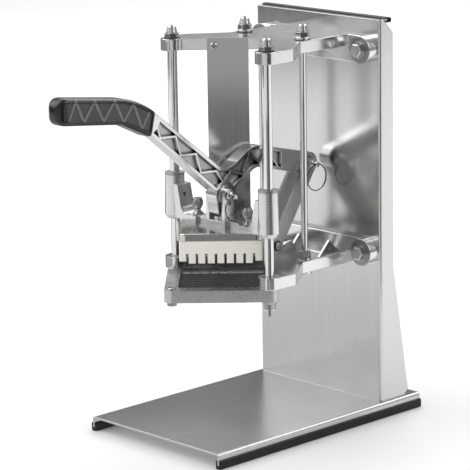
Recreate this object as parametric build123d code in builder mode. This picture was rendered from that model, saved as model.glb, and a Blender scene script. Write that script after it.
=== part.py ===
"""Lever-operated french fry cutter on a folded sheet stand.

A folded base plate carries an upright panel.  Two cast brackets are bolted to
the panel and hold two guide rods and two tie rods.  A carriage slides on the
guide rods and drives a slotted push block through a square frame of crossed
blades.  A cast lever on the carriage is anchored to the lower bracket by a
pair of links.

Millimetres.  +X right, -Y towards the user, +Z up.  The floor is Z = 0 and
the origin lies under the middle of the whole machine.
"""

import os
from math import atan2, cos, degrees, hypot, radians, sin, sqrt

from build123d import *

os.makedirs("parts", exist_ok=True)

# ---------------------------------------------------------------- dimensions
# Fits and clearances
seat_gap = 0.05          # radial, a fixed rod or pin in its seat
running_gap = 0.08       # radial, a sliding or turning fit
bolt_gap = 0.3           # radial, a bolt in its clearance hole
body_gap = 0.5           # between pieces that move past each other
stop_gap = 2.0           # left between the sleeves and the lower bracket at their stop

# Stand
sheet = 2.0
bend_radius = 3.0
base_width = 188.0
base_front = 239.0       # base plate ahead of the upright panel
base_back = 54.0         # base plate behind the panel's face
base_flange = 11.5       # depth of the folded sides
edging_height = 9.0
edging_sole = 4.0        # rubber under the folded side
edging_wall = 2.2
edging_round = 1.32
upright_width = 178.0
upright_height = 401.0
upright_depth = 19.0     # side flanges, upper part
foot_depth = 41.0        # side flanges, at the base
foot_height = 142.0      # height over which the side flanges widen
foot_corner = 6.0        # cut corner at the back of the foot
foot_flange = 26.0       # bottom flange, screwed to the base
top_flange = 15.0
top_relief = 15.0        # cut corner of the side flanges under the top edging
top_edging_depth = 8.0
top_edging_wall = 1.5

# Rods and brackets
head_depth = 141.0       # guide rods ahead of the panel
head_height = 145.5      # lower bracket above the base plate
head_drop = 16.8         # upper bracket's top below the panel's
guide_x = 68.3
guide_radius = 5.0
tie_x = 41.6
tie_depth = 63.5         # tie rods ahead of the panel
tie_radius = 3.5
rim_height = 12.0
rim_wall = 3.5
bracket_floor = 4.0
boss_radius = 11.5
tie_boss_radius = 7.5
tie_pad = 3.0
shoulder_depth = 115.0
shoulder_curve = 9.0
neck_depth = 76.0
neck_half_width = 51.0
neck_curve = 22.0
web_thickness = 8.0
ear_thickness = 12.0
ear_radius = 14.0
ear_inset = 17.5         # bolt in from the panel's side
gusset_x = 22.0
gusset_thickness = 3.0
gusset_depth = 15.0

# Fasteners
bolt_radius = 4.0
bolt_head = 13.0         # across flats
bolt_head_height = 5.3
bolt_head_bevel = 0.795
bolt_stand_out = 1.0     # thread beyond the nut
washer_radius = 8.5
washer_thickness = 1.6
nut_height = 6.5
screw_radius = 2.5
screw_head_radius = 4.5
screw_head_height = 2.6
screw_head_round = 1.04
cap_nut_flats = 13.0
cap_nut_height = 13.0
cap_nut_hex = 5.0        # height of the hexagon under the dome
cap_nut_dome = 5.7       # radius of the dome at its foot
cap_nut_crown = 4.4      # and under its rounded top
cap_nut_round = 1.4      # bevel of the top
cap_nut_neck = 1.0       # straight part of the dome above the hexagon
cap_nut_bore = 7.8       # depth of the blind bore
tie_nut_flats = 11.0
tie_nut_height = 7.0
tie_washer = 6.8
end_bevel = 0.15         # bevel of a round end, as a share of its radius
foot_nut_height = 4.14

# Splash guards
guard_thickness = 1.2
guard_width = 42.0
guard_gap = 0.5          # between the pusher plate and the guards
guard_inner_x = 9.2
guard_corner = 2.0
guard_end_gap = 0.6
guard_screw_inset = 7.0
guard_screw_radius = 1.9
guard_screw_head = 4.0
guard_head_height = 2.0
guard_nut_flats = 7.0
guard_nut_height = 3.2

# Blades and push block
pitch = 9.525            # width of one cell
cells = 9
slot = 2.6
blade_thickness = 0.8
blade_height = 3.8
blade_drop = 4.6         # top of the blades under the top of their frame
frame_side = 114.2
frame_height = 12.5
frame_corner = 8.0
opening_corner = 2.0
frame_lip = 0.3          # opening wider than the cells, all round
blade_end = 3.0          # blade length held in the frame
blade_seat = 0.1         # gap beside a blade in its groove
corner_screw_reach = 69.8
corner_screw_radius = 2.5
corner_head_radius = 4.2
corner_head_height = 2.0
corner_head_round = 1.0
corner_slot = 1.2
corner_slot_floor = 0.8
corner_nut_radius = 5.0
corner_nut_height = 4.0
corner_nut_bevel = 0.6
block_height = 22.5
block_corner = 1.5
finger_height = 9.8
corner_finger_cut = 2.2
plate_overhang = 0.2
plate_thickness = 7.5
plate_corner = 7.0
plate_edge = 1.5

# Carriage
drop = 38.5              # carriage's way down from its half-way height
sleeve_length = 48.0
sleeve_top_radius = 9.8
sleeve_bottom_radius = 11.0
bush_wall = 1.5
bush_length = 14.0
sleeve_bevel = 2.0
flange_ring_radius = 10.3
flange_ring_height = 2.4
grease_height = 26.0
grease_radius = 2.3
plate_lift = 2.0         # pusher plate's top above the sleeves' lower ends
wing_top = 36.5
wing_top_x = 56.7
wing_root_x = 50.4
wing_curve = 10.0
wing_front = 7.6         # web ahead of the rods
wing_web = 4.0
wing_flange = 3.0
wing_back = 11.0
foot_end_x = 30.0
foot_thickness = 5.2
bridge_front = 4.0
bridge_back = 8.0
bridge_height = 6.0
thumb_x = 36.5
thumb_back = 2.0
thumb_radius = 3.0
thumb_thread = 6.0       # into the pusher plate
thumb_washer = 5.6
thumb_collar = 1.8       # top of the washer-like foot, and of its cone
thumb_cone = 4.2
thumb_neck = 6.0
thumb_knob_shape = ((3.9, 1.15), (5.2, 4.025), (5.2, 8.625), (4.16, 11.5), (0, 11.5))
lug_gap = 18.2
lug_thickness = 4.4
lug_half_depth = 7.0
hex_screw_forward = 3.0
hex_screw_flats = 8.0
hex_screw_height = 3.6

# Lever, about its pivot: (towards the wall, up)
pivot_lead = 1.0         # pivot ahead of the guide rods
pivot_lift = 32.0        # pivot above the pusher plate
lever_width = 14.5
hub_radius = 12.0
hub_boss = 1.4           # raised ring around the pivot, each side
hub_boss_radius = 9.8
pin_radius = 4.0
arm_angle = 141.4        # front arm, from the wall-ward horizontal
arm_top = 18.1           # top edge of the front arm at the grip, square to it
arm_bottom_near = 3.4    # bottom edge under the pivot line, at the hub
arm_bottom_far = 2.0     # and at the grip
arm_length = 134.0
rear_eye = (121.1, 14.6)
eye_radius = 11.8
dip = (3.2, 22.4)
dip_curve = 23.0
hump = (39.7, 46.2)
hump_curve = 30.0
rear_top = (122.5, 25.8)
rear_heel = (118.2, 3.2)
throat = (44.2, 22.6)
throat_curve = 14.0
leg_root = 12.0          # front of the leg at the pivot's height
leg_front = 9.0          # and at its foot
leg_back = 6.5
leg_drop = 19.4
leg_corner = 4.5
flange_edge = 3.6        # top and bottom flanges of the cast arm
pocket_depth = 4.3
rib = 2.2
rib_low = 1.6            # the ribs' nodes, square to the arm's line
rib_high = 13.6
truss_pitch = 34.3
truss_start = 25.2
truss_count = 3
rear_ribs = ((-11.0, 26.5), (-1.2, 13.0), (9.2, 23.4), (27.2, 17.0), (35.6, 38.6),
             (51.3, 24.2), (61.6, 37.2), (76.0, 17.8))
rear_solid = 80.5        # the arm is solid from here to its eye
arm_solid = 14.0
bush_radius = 5.5

# Grip
grip_reach = 216.0       # end of the grip ahead of the pivot
grip_end_top = (-grip_reach, 126.9)
grip_knee_top = (-116.6, 113.9)
grip_mouth_top = (-87.3, 99.2)
grip_mouth_bottom = (-94.0, 70.6)
grip_knee_bottom = (-136.0, 90.5)
grip_end_bottom = (-grip_reach, 100.0)
grip_width = 21.0
grip_round = 3.5
grip_end_round = 11.0
grip_knee_round_top = 100.0
grip_knee_round_bottom = 40.0
grip_border = 4.0        # smooth edge around the recessed sides
grip_recess = 1.2
grip_rib = 2.6
grip_ribs = ((-205.0, 103.6), (-194.4, 122.2), (-184.8, 100.3), (-170.8, 119.1), (-160.3, 97.4),
             (-145.7, 115.8), (-135.0, 91.4), (-121.6, 108.1), (-111.5, 81.7), (-98.5, 98.6))
tang_depth = 12.0
tang_width = 8.0
tang_path = ((-86.0, 82.0), (-122.0, 101.0), (-200.0, 111.5))

# Links and their anchor
anchor_depth = 73.0      # lower link pivot ahead of the panel
anchor_lift = 22.5       # and above the lower bracket's underside
link_thickness = 3.2
link_half = 7.6
link_gap = 0.35          # between the lever and a link
lug_wall = 4.0
lug_radius = 7.5
clevis_back = 18.2       # foot of the back stop's front edge, behind the pivot
horn_point = (26.0, 19.0)    # top of the back stop: (behind the pivot, above floor)
horn_heel = (31.2, 11.0)     # and its rear edge
clevis_end = 39.0            # end of the walls on the floor
link_pin_reach = 13.8
clip_radius = 5.4
clip_thickness = 1.3
clip_groove = 0.8

# Quick-release pins
pin_head_radius = 5.2
pin_head_length = 4.0
pin_head_rim = 1.6       # straight edge of the head under its dome
pin_knob_radius = 2.8
pin_knob_length = 5.6
pin_knob_bevel = 1.0
pin_tip = 4.0
pivot_ring_radius = 12.2
rear_ring_radius = 13.6
ring_wire = 0.75
ring_hole = 1.6

# Wing nuts
wing_nut_radius = 7.5
wing_nut_foot = 5.625    # radius of the hub's lower end
wing_nut_height = 8.5
wing_nut_drop = 13.0
wing_nut_blade = 2.4
wing_nut_shape = ((0, -2.55), (7.8, -3.4), (13.0, -wing_nut_drop), (7.15, -wing_nut_drop),
                  (3.9, -wing_nut_height), (0, -wing_nut_height))
rod_tail = 11.0          # guide rod below the blade frame

# --------------------------------------------------------------- derived places
base_top = base_flange + edging_sole
reach = head_depth + pivot_lead + grip_reach
upright_y = (reach - base_back) / 2
head_y = upright_y - head_depth
tie_y = upright_y - tie_depth
hex_y = head_y - hex_screw_forward
upright_top = base_top + upright_height

lower_z = base_top + head_height
upper_z = upright_top - head_drop
rim_z = lower_z + rim_height
ear_x = upright_width / 2 - ear_inset
ear_lower_z = lower_z + ear_radius
ear_upper_z = upper_z - ear_radius

block_side = pitch * cells - slot
plate_side = block_side + 2 * plate_overhang
guard_face = plate_side / 2 + guard_gap
wall_face = guard_face + guard_thickness
frame_opening = pitch * cells + 2 * frame_lip
frame_top = lower_z
frame_bottom = frame_top - frame_height
blade_top = frame_top - blade_drop

sleeve_z = rim_z + stop_gap + drop
plate_top = sleeve_z + plate_lift
plate_bottom = plate_top - plate_thickness
block_bottom = plate_bottom - block_height
pivot_y = head_y - pivot_lead
pivot_z = plate_top + pivot_lift
rear_y = pivot_y + rear_eye[0]
rear_z = pivot_z + rear_eye[1]
anchor_y = upright_y - anchor_depth
anchor_z = lower_z + anchor_lift

lever_half = lever_width / 2
link_inner = lever_half + link_gap
link_outer = link_inner + link_thickness
lug_inner = lug_gap / 2
lug_outer = lug_inner + lug_thickness
thumb_y = head_y + thumb_back


# --------------------------------------------------------------------- planes
def level(z):
    """Horizontal sketch plane at height z."""
    return Plane.XY.offset(z)


def facing(y):
    """Upright sketch plane across the machine; it extrudes towards the user."""
    return Plane(origin=(0, y, 0), x_dir=(1, 0, 0), z_dir=(0, -1, 0))


def beside(x):
    """Upright sketch plane along the machine; it extrudes towards +X."""
    return Plane(origin=(x, 0, 0), x_dir=(0, 1, 0), z_dir=(1, 0, 0))


def head_plane(z):
    """Level plane turned with the square cutting head, centred on it."""
    return Plane(origin=(0, head_y, z), x_dir=(1, 1, 0), z_dir=(0, 0, 1))


def wall_plane(side, distance):
    """Upright plane beside the head and facing it; local x grows with X."""
    origin = (side * distance / sqrt(2), head_y + distance / sqrt(2), 0)
    return Plane(origin=origin, x_dir=(1, -side, 0), z_dir=(-side, -1, 0))


def lever_plane(x):
    """Plane of beside() with its origin on the lever's pivot."""
    return Plane(origin=(x, pivot_y, pivot_z), x_dir=(0, 1, 0), z_dir=(1, 0, 0))


def hexagon(flats):
    return RegularPolygon(radius=flats / 2, side_count=6, major_radius=False)


# ----------------------------------------------------------------------- stand
upright_holes = [(side * ear_x, z) for side in (-1, 1) for z in (ear_lower_z, ear_upper_z)]
foot_screw_points = [(side * x, upright_y + sheet + foot_flange / 2)
                     for side in (-1, 1) for x in (upright_width / 6, upright_width / 3)]

with BuildPart() as base_plate:
    with BuildSketch(facing(upright_y + base_back)) as base_section:
        with Locations((0, base_top - base_flange / 2)):
            Rectangle(base_width, base_flange)
        fillet(base_section.vertices().group_by(Axis.Y)[-1], bend_radius)
        with Locations((0, base_top - sheet - base_flange / 2)):
            Rectangle(base_width - 2 * sheet, base_flange, mode=Mode.SUBTRACT)
    extrude(amount=base_front + base_back)
    with BuildSketch(level(base_top)) as base_holes:
        with Locations(*foot_screw_points):
            Circle(screw_radius + bolt_gap)
    extrude(amount=-sheet, mode=Mode.SUBTRACT)


def base_edging(side):
    """U-shaped rubber edging pushed onto one folded side of the base."""
    middle = side * (base_width - sheet) / 2
    with BuildPart() as edging:
        with BuildSketch(facing(upright_y + base_back)) as section:
            with Locations((middle, edging_height / 2)):
                RectangleRounded(sheet + 2 * edging_wall, edging_height, edging_round)
            with Locations((middle, edging_sole + edging_height / 2)):
                Rectangle(sheet, edging_height, mode=Mode.SUBTRACT)
        extrude(amount=base_front + base_back)
    return edging


edging_left = base_edging(-1)
edging_right = base_edging(1)

with BuildPart() as upright_panel:
    # front face with both sides and the top folded back
    with BuildSketch(level(base_top)) as panel_section:
        with Locations((0, upright_y + upright_depth / 2)):
            Rectangle(upright_width, upright_depth)
        fillet(panel_section.vertices().group_by(Axis.Y)[0], bend_radius)
        with Locations((0, upright_y + sheet + upright_depth / 2)):
            Rectangle(upright_width - 2 * sheet, upright_depth, mode=Mode.SUBTRACT)
    extrude(amount=upright_height)
    # widening feet of the side flanges
    with BuildSketch(beside(-upright_width / 2)) as foot_profile:
        with BuildLine():
            Polyline((upright_y + sheet, base_top),
                     (upright_y + foot_depth - foot_corner, base_top),
                     (upright_y + foot_depth, base_top + foot_corner),
                     (upright_y + upright_depth, base_top + foot_height),
                     (upright_y + sheet, base_top + foot_height), close=True)
        make_face()
    extrude(amount=sheet)
    mirror(about=Plane.YZ)
    # bottom and top flanges
    with BuildSketch(level(base_top)):
        with Locations((0, upright_y + sheet + foot_flange / 2)):
            Rectangle(upright_width - 2 * sheet, foot_flange)
    extrude(amount=sheet)
    with BuildSketch(level(upright_top)):
        with Locations((0, upright_y + top_flange / 2)):
            Rectangle(upright_width - 2 * sheet, top_flange)
    extrude(amount=-sheet)
    with BuildSketch(beside(-upright_width / 2)) as relief_profile:
        with BuildLine():
            Polyline((upright_y + sheet + bend_radius, upright_top),
                     (upright_y + upright_depth, upright_top - top_relief),
                     (upright_y + upright_depth, upright_top), close=True)
        make_face()
    extrude(amount=sheet, mode=Mode.SUBTRACT)
    with BuildSketch(beside(upright_width / 2)) as relief_profile_right:
        add(relief_profile.sketch_local)
    extrude(amount=-sheet, mode=Mode.SUBTRACT)
    # bolt holes of the brackets and of the bottom flange
    with BuildSketch(facing(upright_y + sheet)):
        with Locations(*upright_holes):
            Circle(bolt_radius + bolt_gap)
    extrude(amount=sheet, mode=Mode.SUBTRACT)
    with BuildSketch(level(base_top + sheet)):
        with Locations(*foot_screw_points):
            Circle(screw_radius + bolt_gap)
    extrude(amount=-sheet, mode=Mode.SUBTRACT)

with BuildPart() as top_edging:
    edge_y = upright_y + top_flange + top_edging_wall
    edge_z = upright_top - sheet / 2
    with BuildSketch(beside(-upright_width / 2)) as top_edging_section:
        with Locations((edge_y - top_edging_depth / 2, edge_z)):
            RectangleRounded(top_edging_depth, sheet + 2 * top_edging_wall, top_edging_wall)
        with Locations((upright_y + top_flange / 2, edge_z)):
            Rectangle(top_flange, sheet, mode=Mode.SUBTRACT)
    extrude(amount=upright_width)

with BuildPart() as upright_screws:
    with BuildSketch(level(base_top + sheet)):
        with Locations(*foot_screw_points):
            Circle(screw_head_radius)
    extrude(amount=screw_head_height)
    fillet(upright_screws.faces().group_by(Axis.Z)[-1].edges(), screw_head_round)
    with BuildSketch(level(base_top + sheet)):
        with Locations(*foot_screw_points):
            Circle(screw_radius)
    extrude(amount=-(3 * sheet + screw_head_height))

with BuildPart() as upright_nuts:
    with BuildSketch(level(base_top - sheet)):
        with Locations(*foot_screw_points):
            hexagon(2 * screw_head_radius)
            Circle(screw_radius + seat_gap, mode=Mode.SUBTRACT)
    extrude(amount=-foot_nut_height)


# -------------------------------------------------------------------- brackets
def wall_point(x, distance):
    """Point on the V-shaped wall at a distance from the head's middle."""
    return (x, head_y + distance * sqrt(2) - abs(x))


def bracket_outline():
    """Plan of the casting: V-shaped front, two bosses, S-shaped sides, neck."""
    apex = wall_point(0, wall_face)
    aside = guide_x / sqrt(2) - wall_face
    along = sqrt(boss_radius ** 2 - aside ** 2)
    join = wall_point(guide_x - (aside + along) / sqrt(2), wall_face)
    boss_front = (guide_x, head_y - boss_radius)
    outer = (guide_x + boss_radius, head_y)
    with BuildSketch(Plane.XY) as plan:
        with BuildLine():
            Line(apex, join)
            ThreePointArc(join, boss_front, outer)
            Polyline(outer, (outer[0], upright_y - shoulder_depth),
                     (neck_half_width, upright_y - neck_depth), (neck_half_width, upright_y))
            mirror(about=Plane.YZ)
            Line((-neck_half_width, upright_y), (neck_half_width, upright_y))
        make_face()
        corners = plan.vertices()
        shoulders = [v for v in corners if abs(v.Y - (upright_y - shoulder_depth)) < 0.01]
        necks = [v for v in corners if abs(v.Y - (upright_y - neck_depth)) < 0.01]
        fillet(shoulders, shoulder_curve)
        fillet(necks, neck_curve)
    return plan.sketch


outline = bracket_outline()
guide_points = [(side * guide_x, head_y) for side in (-1, 1)]
tie_points = [(side * tie_x, tie_y) for side in (-1, 1)]

with BuildPart() as bracket_casting:
    # tray with a raised rim
    with BuildSketch(level(lower_z)):
        add(outline)
    extrude(amount=rim_height)
    with BuildSketch(level(rim_z)):
        add(outline)
        offset(amount=-rim_wall, kind=Kind.INTERSECTION, mode=Mode.REPLACE)
    extrude(amount=bracket_floor - rim_height, mode=Mode.SUBTRACT)
    # back web with an ear at each end
    with BuildSketch(facing(upright_y)):
        with Locations((0, ear_lower_z)):
            SlotOverall(2 * (ear_x + ear_radius), 2 * ear_radius)
    extrude(amount=web_thickness)
    with BuildSketch(facing(upright_y)):
        with Locations((-ear_x, ear_lower_z), (ear_x, ear_lower_z)):
            Circle(ear_radius)
    extrude(amount=ear_thickness)
    # bosses of the guide rods, bosses and pads of the tie rods
    with BuildSketch(level(lower_z)):
        with Locations(*guide_points):
            Circle(boss_radius)
    extrude(amount=rim_height)
    with BuildSketch(level(lower_z - tie_pad)):
        with Locations(*tie_points):
            Circle(tie_boss_radius)
    extrude(amount=tie_pad + rim_height)
    # gussets between the floor and the web
    web_y = upright_y - web_thickness
    with BuildSketch(beside(gusset_x - gusset_thickness / 2)) as gusset_profile:
        with BuildLine():
            Polyline((web_y - gusset_depth, lower_z + bracket_floor),
                     (web_y, lower_z + bracket_floor),
                     (web_y, lower_z + bracket_floor + gusset_depth), close=True)
        make_face()
    extrude(amount=gusset_thickness)
    with BuildSketch(beside(-gusset_x - gusset_thickness / 2)):
        add(gusset_profile.sketch_local)
    extrude(amount=gusset_thickness)
    # way of the push block, and the holes
    with BuildSketch(head_plane(lower_z)):
        RectangleRounded(2 * guard_face, 2 * guard_face, block_corner)
    extrude(amount=rim_height, mode=Mode.SUBTRACT)
    with BuildSketch(level(lower_z - tie_pad)):
        with Locations(*guide_points):
            Circle(guide_radius + seat_gap)
        with Locations(*tie_points):
            Circle(tie_radius + seat_gap)
    extrude(amount=tie_pad + rim_height, mode=Mode.SUBTRACT)
    with BuildSketch(facing(upright_y)):
        with Locations((-ear_x, ear_lower_z), (ear_x, ear_lower_z)):
            Circle(bolt_radius + bolt_gap)
    extrude(amount=ear_thickness, mode=Mode.SUBTRACT)

guard_inner_along = guard_inner_x * sqrt(2) - guard_face
guard_screw_along = guard_inner_along + guard_width - guard_screw_inset
guard_screw_low = lower_z + (bracket_floor + rim_height) / 2
guard_screw_high = upper_z - (bracket_floor + rim_height) / 2
wall_depth = guard_thickness + rim_wall + 2 * body_gap


def guard_hole(side, z):
    """Core of a guard screw's hole through the V-shaped wall."""
    with BuildPart() as core:
        with BuildSketch(wall_plane(side, guard_face)):
            with Locations((side * guard_screw_along, z)):
                Circle(guard_screw_radius + seat_gap)
        extrude(amount=-wall_depth)
    return core.part


with BuildPart() as upper_bracket:
    add(mirror(bracket_casting.part, about=level((lower_z + upper_z) / 2)))
    for side in (-1, 1):
        add(guard_hole(side, guard_screw_high), mode=Mode.SUBTRACT)

with BuildPart() as lower_bracket:
    add(bracket_casting.part)
    # clevis for the links: two walls with a rounded eye and a back stop
    floor_z = lower_z + bracket_floor
    with BuildSketch(beside(link_inner - body_gap)) as clevis_profile:
        with BuildLine():
            Polyline((anchor_y - lug_radius, floor_z),
                     (anchor_y - lug_radius, anchor_z),
                     (anchor_y + lug_radius, anchor_z - lug_radius / 2),
                     (anchor_y + clevis_back, anchor_z),
                     (anchor_y + horn_point[0], floor_z + horn_point[1]),
                     (anchor_y + horn_heel[0], floor_z + horn_heel[1]),
                     (anchor_y + clevis_end, floor_z), close=True)
        make_face()
        with Locations((anchor_y, anchor_z)):
            Circle(lug_radius)
            Circle(pin_radius + seat_gap, mode=Mode.SUBTRACT)
    extrude(amount=-lug_wall)
    with BuildSketch(beside(-(link_inner - body_gap))):
        add(clevis_profile.sketch_local)
    extrude(amount=lug_wall)
    for side in (-1, 1):
        add(guard_hole(side, guard_screw_low), mode=Mode.SUBTRACT)

ear_front = upright_y - ear_thickness
with BuildPart() as bracket_bolts:
    with BuildSketch(facing(ear_front)):
        with Locations(*upright_holes):
            Circle(washer_radius)
    extrude(amount=washer_thickness)
    with BuildSketch(facing(ear_front - washer_thickness)):
        with Locations(*upright_holes):
            hexagon(bolt_head)
    extrude(amount=bolt_head_height)
    chamfer(bracket_bolts.faces().group_by(Axis.Y)[0].edges(), bolt_head_bevel)
    with BuildSketch(facing(ear_front)):
        with Locations(*upright_holes):
            Circle(bolt_radius)
    extrude(amount=-(ear_thickness + sheet + washer_thickness + nut_height + bolt_stand_out))

with BuildPart() as bracket_nuts:
    nut_front = upright_y + sheet
    with BuildSketch(facing(nut_front)):
        with Locations(*upright_holes):
            Circle(washer_radius)
            Circle(bolt_radius + seat_gap, mode=Mode.SUBTRACT)
    extrude(amount=-washer_thickness)
    with BuildSketch(facing(nut_front + washer_thickness)):
        with Locations(*upright_holes):
            hexagon(bolt_head)
            Circle(bolt_radius + seat_gap, mode=Mode.SUBTRACT)
    extrude(amount=-nut_height)


# ------------------------------------------------------------------------ rods
def rod(x, y, radius, low, high):
    """Straight round bar with chamfered ends."""
    with BuildPart() as bar:
        with BuildSketch(level(low)):
            with Locations((x, y)):
                Circle(radius)
        extrude(amount=high - low)
        chamfer(bar.edges().filter_by(GeomType.CIRCLE), radius * end_bevel)
    return bar


guide_low = frame_bottom - rod_tail
guide_rod_left = rod(-guide_x, head_y, guide_radius, guide_low, upper_z + cap_nut_bore)
guide_rod_right = rod(guide_x, head_y, guide_radius, guide_low, upper_z + cap_nut_bore)
tie_high = upper_z + tie_pad + cap_nut_bore
tie_low = lower_z - tie_pad
tie_rod_left = rod(-tie_x, tie_y, tie_radius, tie_low, tie_high)
tie_rod_right = rod(tie_x, tie_y, tie_radius, tie_low, tie_high)


def cap_nut(x, y, z, bore):
    """Closed nut: a hexagon under a tapered dome, with a blind bore."""
    with BuildPart() as nut:
        with BuildSketch(level(z)):
            with Locations((x, y)):
                hexagon(cap_nut_flats)
        extrude(amount=cap_nut_hex)
        with BuildSketch(Plane(origin=(x, y, z), x_dir=(1, 0, 0), z_dir=(0, -1, 0))):
            with BuildLine():
                Polyline((0, cap_nut_height), (0, 0), (cap_nut_dome, 0),
                         (cap_nut_dome, cap_nut_hex + cap_nut_neck),
                         (cap_nut_crown, cap_nut_height - cap_nut_round),
                         (cap_nut_crown - cap_nut_round, cap_nut_height), close=True)
            make_face()
        revolve(axis=Axis((x, y, z), (0, 0, 1)))
        with BuildSketch(level(z)):
            with Locations((x, y)):
                Circle(bore + seat_gap)
        extrude(amount=cap_nut_bore + seat_gap, mode=Mode.SUBTRACT)
    return nut.part


with BuildPart() as cap_nuts:
    for x, y in guide_points:
        add(cap_nut(x, y, upper_z, guide_radius))
    for x, y in tie_points:
        add(cap_nut(x, y, upper_z + tie_pad, tie_radius))

with BuildPart() as tie_nuts:
    with BuildSketch(level(rim_z)):
        with Locations(*tie_points):
            Circle(tie_washer)
            Circle(tie_radius + seat_gap, mode=Mode.SUBTRACT)
    extrude(amount=washer_thickness)
    with BuildSketch(level(rim_z + washer_thickness)):
        with Locations(*tie_points):
            hexagon(tie_nut_flats)
            Circle(tie_radius + seat_gap, mode=Mode.SUBTRACT)
    extrude(amount=tie_nut_height)


# --------------------------------------------------------------- splash guards
def splash_guard(side):
    """Flat strip down one side of the V, with a welded stud at its foot."""
    low, high = lower_z + guard_end_gap, upper_z - guard_end_gap
    middle = guard_inner_along + guard_width / 2
    with BuildPart() as guard:
        with BuildSketch(wall_plane(side, guard_face)):
            with Locations((side * middle, (low + high) / 2)):
                RectangleRounded(guard_width, high - low, guard_corner)
            with Locations((side * guard_screw_along, guard_screw_high)):
                Circle(guard_screw_radius + seat_gap, mode=Mode.SUBTRACT)
        extrude(amount=-guard_thickness)
        with BuildSketch(wall_plane(side, wall_face)):
            with Locations((side * guard_screw_along, guard_screw_low)):
                Circle(guard_screw_radius)
        extrude(amount=-(rim_wall + guard_nut_height))
    return guard


splash_guard_left = splash_guard(-1)
splash_guard_right = splash_guard(1)

with BuildPart() as guard_screws:
    for side in (-1, 1):
        with BuildSketch(wall_plane(side, guard_face)):
            with Locations((side * guard_screw_along, guard_screw_high)):
                Circle(guard_screw_head)
        extrude(amount=guard_head_height)
        with BuildSketch(wall_plane(side, guard_face)):
            with Locations((side * guard_screw_along, guard_screw_high)):
                Circle(guard_screw_radius)
        extrude(amount=-(guard_thickness + rim_wall))

with BuildPart() as guard_nuts:
    for side in (-1, 1):
        with BuildSketch(wall_plane(side, wall_face + rim_wall)):
            with Locations((side * guard_screw_along, guard_screw_low)):
                hexagon(guard_nut_flats)
                Circle(guard_screw_radius + seat_gap, mode=Mode.SUBTRACT)
        extrude(amount=-guard_nut_height)


# ----------------------------------------------------------------- blade frame
blade_offsets = [pitch * (i - cells / 2) for i in range(1, cells)]
blade_length = frame_opening + 2 * blade_end
front_corner = (0, head_y - corner_screw_reach)
groove = blade_thickness + 2 * blade_seat

with BuildPart() as blade_frame:
    with BuildSketch(head_plane(frame_bottom)):
        RectangleRounded(frame_side, frame_side, frame_corner)
        RectangleRounded(frame_opening, frame_opening, opening_corner, mode=Mode.SUBTRACT)
    extrude(amount=frame_height)
    with BuildSketch(level(frame_bottom)):
        with Locations(*guide_points):
            Circle(guide_radius + seat_gap)
        with Locations(front_corner):
            Circle(corner_screw_radius + seat_gap)
    extrude(amount=frame_height, mode=Mode.SUBTRACT)
    # grooves that hold the ends of the blades
    with BuildSketch(head_plane(blade_top - 2 * blade_height)):
        with Locations(*[(step, 0) for step in blade_offsets]):
            Rectangle(groove, blade_length)
    extrude(amount=2 * blade_height + blade_drop, mode=Mode.SUBTRACT)
    with BuildSketch(head_plane(blade_top - blade_height)):
        with Locations(*[(0, step) for step in blade_offsets]):
            Rectangle(blade_length, groove)
    extrude(amount=blade_height + blade_drop, mode=Mode.SUBTRACT)

with BuildPart() as blades_lower:
    with BuildSketch(head_plane(blade_top - 2 * blade_height)):
        with Locations(*[(step, 0) for step in blade_offsets]):
            Rectangle(blade_thickness, blade_length)
    extrude(amount=blade_height)

with BuildPart() as blades_upper:
    with BuildSketch(head_plane(blade_top - blade_height)):
        with Locations(*[(0, step) for step in blade_offsets]):
            Rectangle(blade_length, blade_thickness)
    extrude(amount=blade_height)

with BuildPart() as corner_screw:
    with BuildSketch(level(frame_bottom - corner_nut_height)):
        with Locations(front_corner):
            Circle(corner_screw_radius)
    extrude(amount=frame_height + corner_nut_height)
    with BuildSketch(level(frame_top)):
        with Locations(front_corner):
            Circle(corner_head_radius)
    extrude(amount=corner_head_height)
    fillet(corner_screw.faces().group_by(Axis.Z)[-1].edges(), corner_head_round)
    with BuildSketch(level(frame_top + corner_slot_floor)):
        with Locations(front_corner):
            Rectangle(2 * corner_head_radius, corner_slot)
    extrude(amount=corner_head_height, mode=Mode.SUBTRACT)

with BuildPart() as corner_nut:
    with BuildSketch(level(frame_bottom)):
        with Locations(front_corner):
            Circle(corner_nut_radius)
            Circle(corner_screw_radius + seat_gap, mode=Mode.SUBTRACT)
    extrude(amount=-corner_nut_height)
    chamfer(corner_nut.faces().group_by(Axis.Z)[0].edges(), corner_nut_bevel)


# -------------------------------------------------------- pusher plate and block
with BuildPart() as pusher_plate:
    with BuildSketch(head_plane(plate_bottom)):
        RectangleRounded(plate_side, plate_side, plate_corner)
    extrude(amount=plate_thickness)
    fillet(pusher_plate.faces().group_by(Axis.Z)[-1].edges(), plate_edge)
    with BuildSketch(level(plate_top)):
        with Locations((-thumb_x, thumb_y), (thumb_x, thumb_y)):
            Circle(thumb_radius + running_gap)
        with Locations((0, hex_y)):
            Circle(screw_radius + seat_gap)
    extrude(amount=-plate_thickness, mode=Mode.SUBTRACT)

with BuildPart() as push_block:
    with BuildSketch(head_plane(block_bottom)):
        RectangleRounded(block_side, block_side, block_corner)
    extrude(amount=block_height)
    with BuildSketch(head_plane(block_bottom)):
        with Locations(*[(step, 0) for step in blade_offsets]):
            Rectangle(slot, block_side)
        with Locations(*[(0, step) for step in blade_offsets]):
            Rectangle(block_side, slot)
    extrude(amount=finger_height, mode=Mode.SUBTRACT)
    corner_cell = pitch * (cells - 1) / 2
    with BuildSketch(head_plane(block_bottom)):
        with GridLocations(2 * corner_cell, 2 * corner_cell, 2, 2):
            Rectangle(pitch, pitch)
    extrude(amount=corner_finger_cut, mode=Mode.SUBTRACT)


# -------------------------------------------------------------------- carriage
foot_top = plate_top + foot_thickness
bush_outer = guide_radius + running_gap + bush_wall
sleeve_body = sleeve_length - flange_ring_height


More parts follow.
